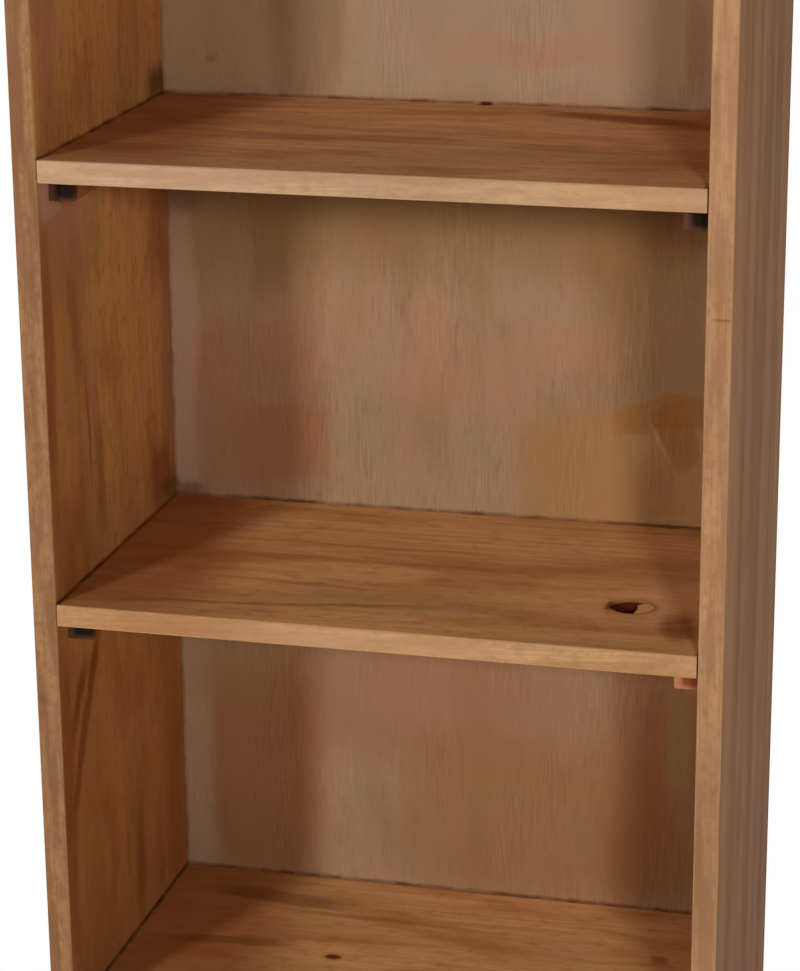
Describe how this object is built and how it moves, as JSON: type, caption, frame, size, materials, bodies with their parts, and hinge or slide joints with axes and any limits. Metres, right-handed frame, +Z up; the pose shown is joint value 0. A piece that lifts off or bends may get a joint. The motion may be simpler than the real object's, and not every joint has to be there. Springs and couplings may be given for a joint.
{
  "type": "dvd rack",
  "caption": "Upright open-fronted rack of stained pine with a housed carcass, a stapled plywood back and loose shelves on screwed cleats, for storing disc cases.",
  "frame": {"origin": "on the floor under the middle of the rack's outline, the top board's overhangs included", "axes": "+X to the rack's right as seen from its open front, +Y from the front to the back, +Z up"},
  "size_m": [0.369, 0.205, 0.9675],
  "materials": {
    "waxed_pine": "stained and waxed, satin",
    "waxed_plywood": "stained and waxed, satin",
    "zinc_steel": "zinc plated",
    "bright_steel": "bright drawn wire"
  },
  "bodies": {
    "carcass": {"left_side": "waxed_pine", "left_plinth_block": "waxed_pine", "right_side": "waxed_pine", "right_plinth_block": "waxed_pine", "top_board": "waxed_pine", "base_board": "waxed_pine", "plinth_board": "waxed_pine", "back_panel": "waxed_plywood", "left_back_staples": "bright_steel", "right_back_staples": "bright_steel", "top_back_staples": "bright_steel", "base_back_staples": "bright_steel", "lower_left_cleat": "waxed_pine", "lower_left_cleat_screws": "zinc_steel", "lower_right_cleat": "waxed_pine", "lower_right_cleat_screws": "zinc_steel", "middle_left_cleat": "waxed_pine", "middle_left_cleat_screws": "zinc_steel", "middle_right_cleat": "waxed_pine", "middle_right_cleat_screws": "zinc_steel", "upper_left_cleat": "waxed_pine", "upper_left_cleat_screws": "zinc_steel", "upper_right_cleat": "waxed_pine", "upper_right_cleat_screws": "zinc_steel"},
    "lower_shelf": {"lower_shelf": "waxed_pine"},
    "middle_shelf": {"middle_shelf": "waxed_pine"},
    "upper_shelf": {"upper_shelf": "waxed_pine"}
  },
  "joints": [
    {"name": "lower_shelf_slide", "type": "slide", "parent": "carcass", "child": "lower_shelf", "axis": [0, -1, 0], "range_m": [0, 0.075]},
    {"name": "middle_shelf_slide", "type": "slide", "parent": "carcass", "child": "middle_shelf", "axis": [0, -1, 0], "range_m": [0, 0.075]},
    {"name": "upper_shelf_slide", "type": "slide", "parent": "carcass", "child": "upper_shelf", "axis": [0, -1, 0], "range_m": [0, 0.075]}
  ]
}
